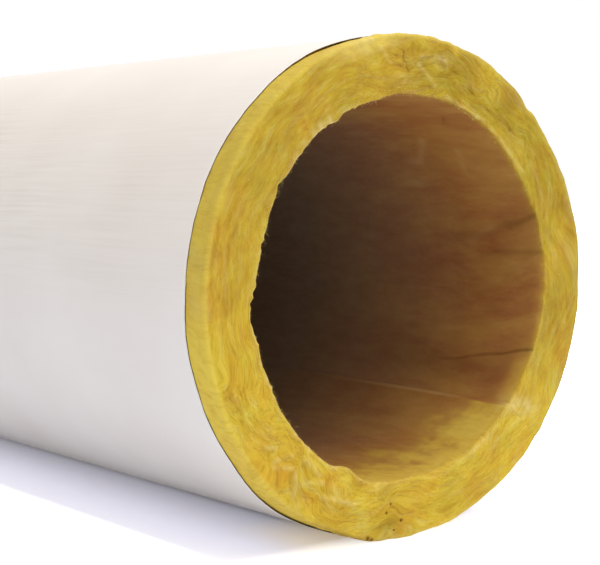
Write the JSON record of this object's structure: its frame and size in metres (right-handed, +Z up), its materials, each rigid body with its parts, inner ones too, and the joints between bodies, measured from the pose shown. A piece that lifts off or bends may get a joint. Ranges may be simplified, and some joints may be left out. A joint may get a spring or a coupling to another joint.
{
  "type": "fiberglass pipe insulation",
  "caption": "Straight section of thick-walled glass wool tube in a white paper jacket, slit along one side so that it closes round a pipe.",
  "frame": {"origin": "on the floor under the middle of the section", "axes": "+X along the pipe's axis, towards the end that the picture shows; +Z up; the slit and the jacket's lap are on the +Y side, low down"},
  "size_m": [0.9144, 0.2195, 0.2195],
  "materials": {
    "glass_wool_sleeve": "moulded glass wool with resin binder, golden yellow, browner in the bore",
    "paper_jacket": "white kraft paper over glass scrim and foil, matt"
  },
  "bodies": {
    "root": {"glass_wool_sleeve": "glass_wool_sleeve", "paper_jacket": "paper_jacket"}
  },
  "joints": []
}
